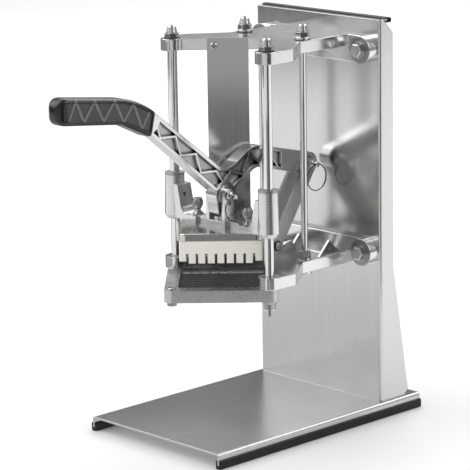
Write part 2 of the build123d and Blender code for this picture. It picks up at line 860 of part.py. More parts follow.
def turned(x, y, z, profile):
    """Solid of revolution about an upright axis from (radius, height) points."""
    with BuildPart() as lathe:
        with BuildSketch(Plane(origin=(x, y, z), x_dir=(1, 0, 0), z_dir=(0, -1, 0))):
            with BuildLine():
                Polyline(*profile, close=True)
            make_face()
        revolve(axis=Axis((x, y, z), (0, 0, 1)))
    return lathe.part


sleeve_profile = [(0, 0), (sleeve_bottom_radius - sleeve_bevel, 0),
                  (sleeve_bottom_radius, 2 * sleeve_bevel),
                  (sleeve_top_radius, sleeve_body), (0, sleeve_body)]

with BuildPart() as carriage:
    # right half: sleeve, wing with its inturned rim, bridge and lug
    add(turned(guide_x, head_y, sleeve_z, sleeve_profile))
    with BuildSketch(facing(head_y - wing_front)) as wing_face:
        with BuildLine():
            Polyline((guide_x, plate_top), (foot_end_x, plate_top), (foot_end_x, foot_top),
                     (wing_root_x, foot_top), (wing_top_x, sleeve_z + wing_top),
                     (guide_x, sleeve_z + wing_top), close=True)
        make_face()
        fillet([v for v in wing_face.vertices() if abs(v.X - wing_root_x) < 0.01], wing_curve)
    extrude(amount=-wing_web)
    with BuildSketch(facing(head_y - wing_front)) as wing_rim:
        add(wing_face.sketch_local)
        offset(wing_face.sketch_local, amount=-wing_flange, kind=Kind.INTERSECTION,
               mode=Mode.SUBTRACT)
    extrude(amount=-(wing_front + wing_back))
    with BuildSketch(level(plate_top)):
        with Locations((foot_end_x / 2, head_y + (bridge_back - bridge_front) / 2)):
            Rectangle(foot_end_x, bridge_back + bridge_front)
        with Locations((lug_outer / 2, pivot_y)):
            Rectangle(lug_outer, 2 * lug_half_depth)
    extrude(amount=bridge_height)
    with BuildSketch(beside(lug_inner)):
        with Locations((pivot_y, (plate_top + pivot_z) / 2)):
            Rectangle(2 * lug_half_depth, pivot_z - plate_top)
        with Locations((pivot_y, pivot_z)):
            Circle(lug_half_depth)
    extrude(amount=lug_thickness)
    mirror(about=Plane.YZ)
    # bores
    with BuildSketch(level(sleeve_z)):
        with Locations(*guide_points):
            Circle(bush_outer + seat_gap)
    extrude(amount=sleeve_length, mode=Mode.SUBTRACT)
    with BuildSketch(beside(-lug_outer)):
        with Locations((pivot_y, pivot_z)):
            Circle(pin_radius + running_gap)
    extrude(amount=2 * lug_outer, mode=Mode.SUBTRACT)
    with BuildSketch(level(plate_top)):
        with Locations((-thumb_x, thumb_y), (thumb_x, thumb_y)):
            Circle(thumb_radius + running_gap)
        with Locations((0, hex_y)):
            Circle(screw_radius + seat_gap)
    extrude(amount=bridge_height, mode=Mode.SUBTRACT)
    # grease hole in the inner side of each sleeve
    with BuildSketch(beside(-guide_x + guide_radius)):
        with Locations((head_y, sleeve_z + grease_height)):
            Circle(grease_radius)
    extrude(amount=2 * (guide_x - guide_radius), mode=Mode.SUBTRACT)


def sleeve_bush(x, z, flanged):
    """Plain bearing for one end of a sleeve."""
    with BuildPart() as bush:
        with BuildSketch(level(z)):
            with Locations((x, head_y)):
                Circle(bush_outer)
        extrude(amount=bush_length)
        if flanged:
            with BuildSketch(level(z + bush_length)):
                with Locations((x, head_y)):
                    Circle(flange_ring_radius)
            extrude(amount=flange_ring_height)
        with BuildSketch(level(z)):
            with Locations((x, head_y)):
                Circle(guide_radius + running_gap)
        extrude(amount=bush_length + flange_ring_height, mode=Mode.SUBTRACT)
    return bush.part


with BuildPart() as sleeve_bushes:
    for x, y in guide_points:
        add(sleeve_bush(x, sleeve_z, False))
        add(sleeve_bush(x, sleeve_z + sleeve_body - bush_length, True))

with BuildPart() as carriage_screw:
    with BuildSketch(level(plate_top + bridge_height)):
        with Locations((0, hex_y)):
            hexagon(hex_screw_flats)
    extrude(amount=hex_screw_height)
    with BuildSketch(level(plate_bottom)):
        with Locations((0, hex_y)):
            Circle(screw_radius)
    extrude(amount=plate_thickness + bridge_height)


def thumb_screw(side):
    """Round-headed hand screw holding one foot down on the pusher plate."""
    tip = -foot_thickness - thumb_thread
    profile = [(0, tip), (thumb_radius, tip), (thumb_radius, 0),
               (thumb_washer, 0), (thumb_washer, thumb_collar), (thumb_radius, thumb_cone),
               (thumb_radius, thumb_neck)]
    profile += [(radius, thumb_neck + height) for radius, height in thumb_knob_shape]
    return turned(side * thumb_x, thumb_y, foot_top, profile)


with BuildPart() as thumb_screw_left:
    add(thumb_screw(-1))

with BuildPart() as thumb_screw_right:
    add(thumb_screw(1))


# ----------------------------------------------------------------------- lever
def arm(t, across):
    """Point along the front arm, at a distance square to it."""
    turn = radians(arm_angle)
    return (t * cos(turn) + across * sin(turn), t * sin(turn) - across * cos(turn))


def lever_profile():
    """Side view of the cast lever, about its pivot."""
    leg_heel = (leg_back, -leg_drop)
    leg_toe = (-leg_front, -leg_drop)
    with BuildSketch(Plane.XY) as profile:
        with BuildLine():
            Polyline(arm(arm_length, arm_top), dip, hump, rear_top, rear_heel, throat,
                     (leg_back, 0), leg_heel, leg_toe, (-leg_root, 0),
                     arm(hub_radius, -arm_bottom_near), arm(arm_length, -arm_bottom_far),
                     close=True)
        make_face()
        rounds = ((dip, dip_curve), (hump, hump_curve), (throat, throat_curve),
                  (leg_heel, leg_corner), (leg_toe, leg_corner))
        for corner, radius in rounds:
            near = [v for v in profile.vertices() if hypot(v.X - corner[0], v.Y - corner[1]) < 0.1]
            fillet(near, radius)
        Circle(hub_radius)
        with Locations(rear_eye):
            Circle(eye_radius)
    return profile.sketch


def strut(start, end, width, mode=Mode.SUBTRACT):
    """Round-ended bar between two points, for the sketch being built."""
    middle = ((start[0] + end[0]) / 2, (start[1] + end[1]) / 2)
    turn = degrees(atan2(end[1] - start[1], end[0] - start[0]))
    length = hypot(end[0] - start[0], end[1] - start[1])
    with Locations(middle):
        SlotCenterToCenter(length, width, rotation=turn, mode=mode)


def lever_pockets(outline):
    """Recesses in the side of the lever, between its flanges and its ribs."""
    with BuildSketch(Plane.XY) as pockets:
        add(outline)
        offset(amount=-flange_edge, kind=Kind.INTERSECTION, mode=Mode.REPLACE)
        for i in range(truss_count):
            t = truss_start + i * truss_pitch
            strut(arm(t, rib_high), arm(t + truss_pitch / 2, rib_low), rib)
            strut(arm(t + truss_pitch / 2, rib_low), arm(t + truss_pitch, rib_high), rib)
        for start, end in zip(rear_ribs[:-1], rear_ribs[1:]):
            strut(start, end, rib)
        Circle(hub_radius + rib, mode=Mode.SUBTRACT)
        with Locations((rear_eye[0], rear_eye[1])):
            Rectangle(2 * (rear_eye[0] - rear_solid), 6 * eye_radius, mode=Mode.SUBTRACT)
        with Locations(arm(arm_length, arm_top / 2)):
            Circle(arm_solid, mode=Mode.SUBTRACT)
    return pockets.sketch


lever_outline = lever_profile()
pocket_outline = lever_pockets(lever_outline)

with BuildPart() as lever_arm:
    with BuildSketch(lever_plane(-lever_half)):
        add(lever_outline)
    extrude(amount=lever_width)
    with BuildSketch(lever_plane(-lever_half - hub_boss)):
        Circle(hub_boss_radius)
    extrude(amount=lever_width + 2 * hub_boss)
    # recesses on both sides
    with BuildSketch(lever_plane(lever_half)):
        add(pocket_outline)
    extrude(amount=-pocket_depth, mode=Mode.SUBTRACT)
    with BuildSketch(lever_plane(-lever_half)):
        add(pocket_outline)
    extrude(amount=pocket_depth, mode=Mode.SUBTRACT)
    # tang inside the grip
    with BuildSketch(lever_plane(-tang_width / 2)):
        for start, end in zip(tang_path[:-1], tang_path[1:]):
            strut(start, end, tang_depth, Mode.ADD)
    extrude(amount=tang_width)
    # bores for the bushes
    with BuildSketch(lever_plane(-lever_half - hub_boss)):
        Circle(bush_radius + seat_gap)
        with Locations(rear_eye):
            Circle(bush_radius + seat_gap)
    extrude(amount=lever_width + 2 * hub_boss, mode=Mode.SUBTRACT)

with BuildPart() as lever_bushes:
    with BuildSketch(lever_plane(-lever_half - hub_boss)):
        Circle(bush_radius)
        Circle(pin_radius + running_gap, mode=Mode.SUBTRACT)
    extrude(amount=lever_width + 2 * hub_boss)
    with BuildSketch(lever_plane(-lever_half)):
        with Locations(rear_eye):
            Circle(bush_radius)
            Circle(pin_radius + running_gap, mode=Mode.SUBTRACT)
    extrude(amount=lever_width)

with BuildPart() as lever_grip:
    with BuildSketch(lever_plane(-grip_width / 2)) as grip_profile:
        with BuildLine():
            Polyline(grip_end_top, grip_knee_top, grip_mouth_top, grip_mouth_bottom,
                     grip_knee_bottom, grip_end_bottom, close=True)
        make_face()
        rounds = ((grip_end_top, grip_end_round), (grip_end_bottom, grip_end_round),
                  (grip_knee_top, grip_knee_round_top), (grip_knee_bottom, grip_knee_round_bottom))
        for corner, radius in rounds:
            near = [v for v in grip_profile.vertices()
                    if hypot(v.X - corner[0], v.Y - corner[1]) < 0.1]
            fillet(near, radius)
    extrude(amount=grip_width)
    mouth_edges = lever_grip.edges().filter_by(
        lambda e: e.center().Y > pivot_y + grip_mouth_bottom[0] - 0.1)
    side_edges = [e for e in lever_grip.edges()
                  if abs(abs(e.center().X) - grip_width / 2) < 0.01 and e not in mouth_edges]
    fillet(side_edges, grip_round)
    # recessed sides with a zigzag of standing ribs
    with BuildSketch(lever_plane(-grip_width / 2)) as grip_sides:
        add(grip_profile.sketch_local)
        offset(amount=-grip_border, mode=Mode.REPLACE)
        for start, end in zip(grip_ribs[:-1], grip_ribs[1:]):
            strut(start, end, grip_rib)
    extrude(amount=grip_recess, mode=Mode.SUBTRACT)
    with BuildSketch(lever_plane(grip_width / 2)):
        add(grip_sides.sketch_local)
    extrude(amount=-grip_recess, mode=Mode.SUBTRACT)
    add(lever_arm.part, mode=Mode.SUBTRACT)


# ------------------------------------------------------------- links and pins
def link(side):
    """Flat bar from the clevis up to the lever's rear eye."""
    with BuildPart() as bar:
        with BuildSketch(beside(link_inner if side > 0 else -link_outer)):
            ends = [(anchor_y, anchor_z), (rear_y, rear_z)]
            strut(ends[0], ends[1], 2 * link_half, Mode.ADD)
            with Locations(*ends):
                Circle(pin_radius + seat_gap, mode=Mode.SUBTRACT)
        extrude(amount=link_thickness)
    return bar


link_left = link(-1)
link_right = link(1)


def round_bar(y, z, radius, low, high):
    """Cylinder across the machine, from x = low to x = high."""
    with BuildPart() as bar:
        with BuildSketch(beside(low)):
            with Locations((y, z)):
                Circle(radius)
        extrude(amount=high - low)
    return bar.part


def pull_head(y, z, start):
    """Domed head of a pin and the short knob that carries its ring."""
    shoulder = start + pin_head_length
    end = shoulder + pin_knob_length
    rim = start + pin_head_rim
    crown = ((rim + shoulder) / 2, (pin_head_radius + pin_knob_radius) / 2 + pin_knob_bevel / 2)
    with BuildPart() as head:
        with BuildSketch(Plane(origin=(0, y, z), x_dir=(1, 0, 0), z_dir=(0, 0, 1))):
            with BuildLine():
                Polyline((rim, pin_head_radius), (start, pin_head_radius), (start, 0), (end, 0),
                         (end, pin_knob_radius - pin_knob_bevel),
                         (end - pin_knob_bevel, pin_knob_radius), (shoulder, pin_knob_radius))
                ThreePointArc((shoulder, pin_knob_radius), crown, (rim, pin_head_radius))
            make_face()
        revolve(axis=Axis((0, y, z), (1, 0, 0)))
    return head.part


def ring_eye(x, y, z):
    """Core of a split ring's hole, through a pin from front to back."""
    with BuildPart() as core:
        with BuildSketch(facing(y + 2 * pin_head_radius)):
            with Locations((x, z)):
                Circle(ring_hole)
        extrude(amount=4 * pin_head_radius)
    return core.part


def split_ring(x, y, z, radius):
    """Wire ring hanging through a pin's eye."""
    with BuildPart() as ring:
        with Locations(Location((x, y, z - radius), (0, 90, 0))):
            Torus(radius, ring_wire)
    return ring


with BuildPart() as link_pin:
    add(round_bar(anchor_y, anchor_z, pin_radius, -link_pin_reach, link_pin_reach))
    for side in (-1, 1):
        groove_x = side * (link_outer + link_gap + clip_thickness / 2)
        with BuildSketch(beside(groove_x - clip_thickness / 2)):
            with Locations((anchor_y, anchor_z)):
                Circle(pin_radius)
                Circle(pin_radius - clip_groove, mode=Mode.SUBTRACT)
        extrude(amount=clip_thickness, mode=Mode.SUBTRACT)

with BuildPart() as link_clips:
    for side in (-1, 1):
        clip_x = side * (link_outer + link_gap + clip_thickness / 2)
        with BuildSketch(beside(clip_x - clip_thickness / 2)):
            with Locations((anchor_y, anchor_z)):
                Circle(clip_radius)
                Circle(pin_radius - clip_groove, mode=Mode.SUBTRACT)
            with Locations((anchor_y + clip_radius, anchor_z)):
                Rectangle(clip_radius, pin_radius, mode=Mode.SUBTRACT)
        extrude(amount=clip_thickness)

pivot_head = lug_outer + body_gap
pivot_ring_x = pivot_head + pin_head_length + pin_knob_length / 2
with BuildPart() as pivot_pin:
    add(round_bar(pivot_y, pivot_z, pin_radius, -lug_outer - pin_tip, pivot_head))
    add(pull_head(pivot_y, pivot_z, pivot_head))
    add(ring_eye(pivot_ring_x, pivot_y, pivot_z), mode=Mode.SUBTRACT)

pivot_ring = split_ring(pivot_ring_x, pivot_y, pivot_z, pivot_ring_radius)

rear_head = link_outer + body_gap
rear_ring_x = rear_head + pin_head_length + pin_knob_length / 2
with BuildPart() as rear_pin:
    # the middle is left out, in the lever's eye
    add(round_bar(rear_y, rear_z, pin_radius, -link_outer - pin_tip, -link_inner))
    add(round_bar(rear_y, rear_z, pin_radius, link_inner, rear_head))
    add(pull_head(rear_y, rear_z, rear_head))
    add(ring_eye(rear_ring_x, rear_y, rear_z), mode=Mode.SUBTRACT)

rear_ring = split_ring(rear_ring_x, rear_y, rear_z, rear_ring_radius)


# ------------------------------------------------------------------- wing nuts
def wing_nut(side):
    """Hand nut under the blade frame, with two drooping wings."""
    x = side * guide_x
    top = frame_bottom - body_gap
    with BuildPart() as nut:
        add(turned(x, head_y, top, [(0, 0), (wing_nut_radius, 0),
                                    (wing_nut_foot, -wing_nut_height),
                                    (0, -wing_nut_height)]))
        wing_plane = Plane(origin=(x, head_y, top), x_dir=(side, -1, 0), z_dir=(-1, -side, 0))
        with BuildSketch(wing_plane) as wings:
            with BuildLine():
                Polyline(*wing_nut_shape, close=True)
            make_face()
            mirror(about=Plane.YZ)
        extrude(amount=wing_nut_blade / 2, both=True)
        with BuildSketch(level(top)):
            with Locations((x, head_y)):
                Circle(guide_radius + running_gap)
        extrude(amount=-wing_nut_drop, mode=Mode.SUBTRACT)
    return nut


wing_nut_left = wing_nut(-1)
wing_nut_right = wing_nut(1)

# ---------------------------------------------------------------------- output
pieces = {
    "base_plate": base_plate,
    "base_edging_left": edging_left,
    "base_edging_right": edging_right,
    "upright_panel": upright_panel,
    "top_edging": top_edging,
    "upright_screws": upright_screws,
    "upright_nuts": upright_nuts,
    "upper_bracket": upper_bracket,
    "lower_bracket": lower_bracket,
    "bracket_bolts": bracket_bolts,
    "bracket_nuts": bracket_nuts,
    "guide_rod_left": guide_rod_left,
    "guide_rod_right": guide_rod_right,
    "tie_rod_left": tie_rod_left,
    "tie_rod_right": tie_rod_right,
    "cap_nuts": cap_nuts,
    "tie_nuts": tie_nuts,
    "wing_nut_left": wing_nut_left,
    "wing_nut_right": wing_nut_right,
    "splash_guard_left": splash_guard_left,
    "splash_guard_right": splash_guard_right,
    "guard_screws": guard_screws,
    "guard_nuts": guard_nuts,
    "blade_frame": blade_frame,
    "blades_lower": blades_lower,
    "blades_upper": blades_upper,
    "corner_screw": corner_screw,
    "corner_nut": corner_nut,
    "pusher_plate": pusher_plate,
    "push_block": push_block,
    "carriage": carriage,
    "sleeve_bushes": sleeve_bushes,
    "carriage_screw": carriage_screw,
    "thumb_screw_left": thumb_screw_left,
    "thumb_screw_right": thumb_screw_right,
    "lever_arm": lever_arm,
    "lever_bushes": lever_bushes,
    "lever_grip": lever_grip,
    "link_left": link_left,
    "link_right": link_right,
    "link_pin": link_pin,
    "link_clips": link_clips,
    "pivot_pin": pivot_pin,
    "pivot_ring": pivot_ring,
    "rear_pin": rear_pin,
    "rear_ring": rear_ring,
}
for name, piece in pieces.items():
    piece.part.label = name
    export_step(piece.part, f"parts/{name}.step")
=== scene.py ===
"""The looks of a lever press that cuts potatoes into sticks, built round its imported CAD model.

Metres, in the machine's own frame: +X to the right, -Y towards the user, +Z up, floor at Z = 0.
"""

from math import cos, pi, radians, sin, tan

import bmesh
import bpy
from mathutils import Matrix, Vector


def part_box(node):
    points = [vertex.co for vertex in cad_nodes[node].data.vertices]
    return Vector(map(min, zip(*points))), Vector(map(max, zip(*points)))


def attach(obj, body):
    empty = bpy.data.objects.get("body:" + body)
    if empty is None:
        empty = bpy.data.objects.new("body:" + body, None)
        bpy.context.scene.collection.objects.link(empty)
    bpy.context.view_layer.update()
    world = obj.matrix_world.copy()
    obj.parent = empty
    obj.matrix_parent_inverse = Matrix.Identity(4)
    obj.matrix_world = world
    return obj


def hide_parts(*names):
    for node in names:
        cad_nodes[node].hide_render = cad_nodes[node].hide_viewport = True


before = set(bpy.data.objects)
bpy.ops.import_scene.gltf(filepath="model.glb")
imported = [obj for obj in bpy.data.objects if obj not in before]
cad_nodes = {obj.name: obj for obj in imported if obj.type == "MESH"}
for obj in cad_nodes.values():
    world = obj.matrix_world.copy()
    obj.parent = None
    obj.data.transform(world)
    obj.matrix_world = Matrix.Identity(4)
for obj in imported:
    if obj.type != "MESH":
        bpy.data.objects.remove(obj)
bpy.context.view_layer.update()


# ---------------------------------------------------------------- the folded base plate
# One stainless sheet, brushed along its length and folded down along both sides.  It
# carries the upright panel and is wiped down daily, so its shine is soft and a bit patchy.
class Grain:
    """One output of a material's or a shape's node; arithmetic on it adds Math nodes."""

    def __init__(self, socket):
        self.socket = socket

    def node(self, kind, settings, sockets, output=0):
        """Any other node, with its settings first and then its sockets' values or links."""
        tree = self.socket.id_data
        made = tree.nodes.new(kind)
        for name, value in settings.items():
            if name == "stops":
                ramp = made.color_ramp
                while len(ramp.elements) < len(value):
                    ramp.elements.new(0.5)
                for element, (place, shade) in zip(ramp.elements, value):
                    element.position = place
                    element.color = (shade, shade, shade, 1)
            else:
                setattr(made, name, value)
        for name, value in sockets.items():
            several = value if isinstance(value, list) else [value]
            for one in several:
                if isinstance(one, Grain):
                    tree.links.new(one.socket, made.inputs[name])
                else:
                    made.inputs[name].default_value = one
        return Grain(made.outputs[output])

    def math(self, operation, a, b):
        """One Math node on two values."""
        return self.node("ShaderNodeMath", {"operation": operation}, {0: a, 1: b})

    def __add__(self, other):
        return self.math("ADD", self, other)

    def __radd__(self, other):
        return self.math("ADD", other, self)

    def __sub__(self, other):
        return self.math("SUBTRACT", self, other)

    def __rsub__(self, other):
        return self.math("SUBTRACT", other, self)

    def __mul__(self, other):
        return self.math("MULTIPLY", self, other)

    def __rmul__(self, other):
        return self.math("MULTIPLY", other, self)

    def __truediv__(self, other):
        return self.math("DIVIDE", self, other)

    def __pow__(self, other):
        return self.math("POWER", self, other)

    def __abs__(self):
        return self.math("ABSOLUTE", self, 0.0)

    def __gt__(self, other):
        return self.math("GREATER_THAN", self, other)

    def __lt__(self, other):
        return self.math("LESS_THAN", self, other)

    def part(self, axis):
        """The X, Y or Z of a vector."""
        return self.node("ShaderNodeSeparateXYZ", {}, {0: self}, axis)

    def stretched(self, scale, turn=(0, 0, 0)):
        """These coordinates, turned and scaled."""
        return self.node("ShaderNodeMapping", {}, {
            "Vector": self, "Scale": scale, "Rotation": turn})

    def noise(self, scale, detail=3.0, rough=0.5):
        """Soft cloudy values round 0.5 on these coordinates."""
        sockets = {"Vector": self, "Scale": scale, "Detail": detail, "Roughness": rough}
        return self.node("ShaderNodeTexNoise", {}, sockets)

    def ramp(self, *stops):
        """These values run through a ramp of (place, shade) stops."""
        return self.node("ShaderNodeValToRGB", {"stops": stops}, {"Fac": self})

    def mixed(self, kind, inputs, output, dark, light):
        """A blend from dark at 0 to light at 1, of colours or of plain values."""
        mix = self.node("ShaderNodeMix", {"data_type": kind}, {0: self}).socket.node
        for index, value in zip(inputs, (dark, light)):
            if isinstance(value, Grain):
                self.socket.id_data.links.new(value.socket, mix.inputs[index])
            elif isinstance(value, tuple):
                mix.inputs[index].default_value = (*value, 1)
            else:
                mix.inputs[index].default_value = value
        return Grain(mix.outputs[output])

    def between(self, dark, light):
        """A colour from dark at 0 to light at 1."""
        return self.mixed("RGBA", (6, 7), 2, dark, light)

    def blend(self, low, high):
        """A value from low at 0 to high at 1."""
        return self.mixed("FLOAT", (2, 3), 0, low, high)


def finish_named(name):
    """A new material; returns it, its coordinates on the piece and its shader node."""
    material = bpy.data.materials.new(name)
    material.use_nodes = True
    nodes = material.node_tree.nodes
    coordinates = Grain(nodes.new("ShaderNodeTexCoord").outputs["Object"])
    return material, coordinates, nodes["Principled BSDF"]


def put(shader, **channels):
    """Sets or links a shader's sockets; words are joined by an underscore."""
    for name, value in channels.items():
        socket = shader.inputs[name.replace("_", " ")]
        if isinstance(value, Grain):
            socket.id_data.links.new(value.socket, socket)
        else:
            socket.default_value = value


def deburred(place, radius):
    """Normals that run round the sharp edges, as a broken edge catches the light."""
    return place.node("ShaderNodeBevel", {"samples": 12}, {"Radius": radius})


def relief(height, depth, strength=1.0, over=None):
    """A normal from a height that varies, in metres at full depth."""
    sockets = {"Height": height, "Distance": depth, "Strength": strength}
    if over is not None:
        sockets["Normal"] = over
    return height.node("ShaderNodeBump", {}, sockets)


def open_air(place, reach):
    """How open a spot is: 1 on a free face, less in a corner or a pocket; colours darkened by it
    are painted shade.
    """
    settings = {"samples": 6, "only_local": True}
    return place.node("ShaderNodeAmbientOcclusion", settings, {"Distance": reach}, "AO")


def facing_x(place):
    """How squarely a face looks to the left or the right."""
    return abs(place.node("ShaderNodeNewGeometry", {}, {}, "Normal").part("X"))


def grey(shade, warmth=0.005):
    """The grey of a metal, with a bit less blue, or a neutral one at a warmth of 0."""
    return (shade, shade, shade - warmth)


def brushed_sheet(name, along, dark, light, rough):
    """Stainless sheet with fine brushing that runs along one axis, and shade painted into its
    creases.
    """
    material, place, shader = finish_named(name)
    # lines in a metre across and along the brushing, and how many of them make a streak
    fine, long, streak = 900, 4, 12
    grain = {"Y": (fine, long, fine), "Z": (fine, fine, long)}[along]
    lines = place.stretched(grain).noise(1.0, 2.0)
    streaks = place.stretched(tuple(count / streak for count in grain)).noise(1.0, 3.0)
    wiped = place.noise(9.0, 3.0)
    # painted shade: the colour darkens in creases and corners, by how open each spot is
    crease_shade = open_air(place, 0.004).ramp((0.0, 0.0), (0.75, 1.0))
    tone = lines * 0.5 + streaks * 0.5
    put(shader,
        Base_Color=crease_shade.between(grey(0.10, 0), tone.between(dark, light)),
        Metallic=1.0,
        Roughness=rough + lines * 0.05 + wiped * 0.06,
        Normal=relief(lines + streaks * 0.6, 0.000004, 0.15, deburred(place, 0.0008)))
    return material


def dress(material, *names):
    """Gives the CAD nodes a finish."""
    for name in names:
        mesh = cad_nodes[name].data
        mesh.materials.clear()
        mesh.materials.append(material)


dress(brushed_sheet("stainless sheet, brushed front to back", "Y", grey(0.56), grey(0.68), 0.20),
      "base_plate")


# ---------------------------------------------------------------------- the rubber edging
# Black rubber channels pushed onto the raw edges of the sheet: one under each side of the
# base, which keep it from sliding, and one over the panel's top flange.
rubber, place, shader = finish_named("black rubber edging")
pores = place.noise(1400.0, 2.0)
dusty = place.noise(14.0, 4.0)
drawn = place.stretched((1200, 3, 1200)).noise(1.0, 2.0)
put(shader,
    Base_Color=dusty.between(grey(0.006, 0), (0.016, 0.016, 0.015)),
    Roughness=0.14 + dusty * 0.14,
    Specular_IOR_Level=0.25,
    Normal=relief(pores + drawn, 0.00003, 0.4, deburred(place, 0.0006)))
dress(rubber, "base_edging_left", "base_edging_right", "top_edging")


# --------------------------------------------------------------------- the upright panel
# The same sheet as the base, brushed up and down, and folded back at the sides, the top and
# the foot, where four screws hold it to the base.  It carries both brackets.
dress(brushed_sheet("stainless sheet, brushed up and down", "Z", grey(0.60), grey(0.70), 0.13),
      "upright_panel")


# ------------------------------------------------------------------ the bolted-on hardware
# Turned and pressed steel: bolts, nuts and screws with a bright plated surface, with shade
# painted dark into their threads and corners.
def turned_steel(name, dark, light, rough, reach=0.003):
    """Bright plated steel, a bit worn, with shade painted into its corners."""
    material, place, shader = finish_named(name)
    worn = place.noise(160.0, 3.0)
    # painted shade: corners and threads darken by how open they are
    crease_shade = open_air(place, reach).ramp((0.25, 0.0), (0.85, 1.0))
    put(shader,
        Base_Color=crease_shade.between(grey(0.04, 0), worn.between(dark, light)),
        Metallic=1.0,
        Roughness=rough + worn * 0.12,
        Normal=relief(place.noise(900.0, 2.0), 0.00002, 0.3, deburred(place, 0.0004)))
    return material


bright_steel = turned_steel("bright plated steel", grey(0.50, 0.01), grey(0.66, 0.01), 0.12)
dress(bright_steel, "upright_screws", "upright_nuts", "bracket_bolts", "bracket_nuts", "tie_nuts",
      "guard_nuts", "corner_screw", "carriage_screw", "link_pin", "pivot_pin", "rear_pin")
dress(turned_steel("cast wing nut", grey(0.34), grey(0.50), 0.20),
      "wing_nut_left", "wing_nut_right")


class Shape:
    """A Geometry Nodes tree with named sizes, which grows one plain mesh for each use."""

    kinds = {int: "NodeSocketInt", float: "NodeSocketFloat", tuple: "NodeSocketVector"}
    weld = 1e-7
    sharp = radians(35)

    def __init__(self, name, **sizes):
        self.sizes = sizes
        self.tree = bpy.data.node_groups.new(name, "GeometryNodeTree")
        face = self.tree.interface
        face.new_socket("Geometry", in_out="OUTPUT", socket_type="NodeSocketGeometry")
        face.new_socket("Geometry", in_out="INPUT", socket_type="NodeSocketGeometry")
        for label, value in sizes.items():
            socket = face.new_socket(label, in_out="INPUT", socket_type=self.kinds[type(value)])
            socket.default_value = value
        face.new_socket("Finish", in_out="INPUT", socket_type="NodeSocketMaterial")
        self.given = self.tree.nodes.new("NodeGroupInput")

    def size(self, label):
        """One of the tree's inputs."""
        return Grain(self.given.outputs[label])

    def close(self, shape):
        """Ends the tree with real geometry in its finish."""
        shape = shape.node("GeometryNodeRealizeInstances", {}, {"Geometry": shape})
        shape = shape.node("GeometryNodeSetMaterial", {}, {
            "Geometry": shape, "Material": self.size("Finish")})
        end = self.tree.nodes.new("NodeGroupOutput")
        self.tree.links.new(shape.socket, end.inputs["Geometry"])

    def grow(self, name, body, slot, finish, start, **sizes):
        """A piece grown on a starting mesh with sizes of its own, riding on a body."""
        piece = bpy.data.objects.new(name, start)
        bpy.context.scene.collection.objects.link(piece)
        growth = piece.modifiers.new("growth", "NODES")
        growth.node_group = self.tree
        wanted = {**self.sizes, **sizes, "Finish": finish}
        for socket in self.tree.interface.items_tree:
            if socket.in_out == "INPUT" and socket.name in wanted:
                growth[socket.identifier] = wanted[socket.name]
        graph = bpy.context.evaluated_depsgraph_get()
        mesh = bpy.data.meshes.new_from_object(piece.evaluated_get(graph))
        piece.modifiers.remove(growth)
        piece.data = mesh
        closed = bmesh.new()
        closed.from_mesh(mesh)
        bmesh.ops.remove_doubles(closed, verts=closed.verts, dist=self.weld)
        bmesh.ops.recalc_face_normals(closed, faces=closed.faces)
        closed.to_mesh(mesh)
        closed.free()
        mesh.shade_smooth()
        mesh.set_sharp_from_angle(angle=self.sharp)
        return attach(piece, body)


def dots(name, *points):
    """A mesh of bare points, on which a tree sets what it makes."""
    mesh = bpy.data.meshes.new(name)
    mesh.from_pydata(points, [], [])
    return mesh


def middle_of(node):
    """Centre and half sizes of a CAD node."""
    low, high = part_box(node)
    return (low + high) / 2, (high - low) / 2


# A flat ring whose rim is cut into even teeth: a knurled nut, a lock washer or a knurled band.
points_a_tooth, bore_sides = 4, 32
toothed = Shape("toothed ring", Teeth=24, Radius=0.005, Depth=0.0003, Bore=0.0025,
                Thickness=0.004)
radius = toothed.size("Radius")
rim = radius.node("GeometryNodeCurvePrimitiveCircle", {"mode": "RADIUS"}, {
    "Resolution": toothed.size("Teeth") * points_a_tooth, "Radius": radius})
index = radius.node("GeometryNodeInputIndex", {}, {})
notch = index.math("MODULO", index, points_a_tooth) > 1.5
spot = radius.node("GeometryNodeInputPosition", {}, {})
cut = spot.node("ShaderNodeVectorMath", {"operation": "SCALE"}, {
    0: spot, "Scale": 1.0 - notch * toothed.size("Depth") / radius})
rim = rim.node("GeometryNodeSetPosition", {}, {"Geometry": rim, "Position": cut})
bore = radius.node("GeometryNodeCurvePrimitiveCircle", {"mode": "RADIUS"}, {
    "Resolution": bore_sides, "Radius": toothed.size("Bore")})
flat = rim.node("GeometryNodeJoinGeometry", {}, {"Geometry": [rim, bore]})
flat = flat.node("GeometryNodeFillCurve", {"mode": "NGONS"}, {"Curve": flat})
rise = radius.node("ShaderNodeCombineXYZ", {}, {"Z": toothed.size("Thickness")})
solid = flat.node("GeometryNodeExtrudeMesh", {}, {
    "Mesh": flat, "Offset": rise, "Offset Scale": 1.0, "Individual": False})
solid = solid.node("GeometryNodeJoinGeometry", {}, {"Geometry": [solid, flat]})
toothed.close(solid.node("GeometryNodeInstanceOnPoints", {}, {
    "Points": toothed.size("Geometry"), "Instance": solid}))

# the knurled nut under the frame's front corner
knurl_steel = turned_steel("knurled steel", grey(0.46), grey(0.62, 0.01), 0.16, 0.0008)
centre, half = middle_of("corner_nut")
corner_knurl = toothed.grow(
    "corner_nut_knurled", "stand", "fastener_steel", knurl_steel,
    dots("corner_nut_foot", (centre.x, centre.y, centre.z - half.z)),
    Teeth=26, Radius=half.x, Depth=0.0005, Bore=0.00255, Thickness=2 * half.z)
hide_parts("corner_nut")

# toothed lock washers, bitten between each cap nut and the bracket
blackened = turned_steel("blackened lock washer", grey(0.05, 0), grey(0.11, 0), 0.24, 0.001)
bracket_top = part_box("cap_nuts")[0].z
washer_places = []
for name in ("guide_rod_left", "guide_rod_right", "tie_rod_left", "tie_rod_right"):
    centre = middle_of(name)[0]
    washer_places.append((centre.x, centre.y, bracket_top))
toothed.grow("cap_nut_washers", "stand", "clip_steel", blackened,
             dots("washer_places", *washer_places),
             Teeth=18, Radius=0.0081, Depth=0.0006, Bore=0.0051, Thickness=0.0009)


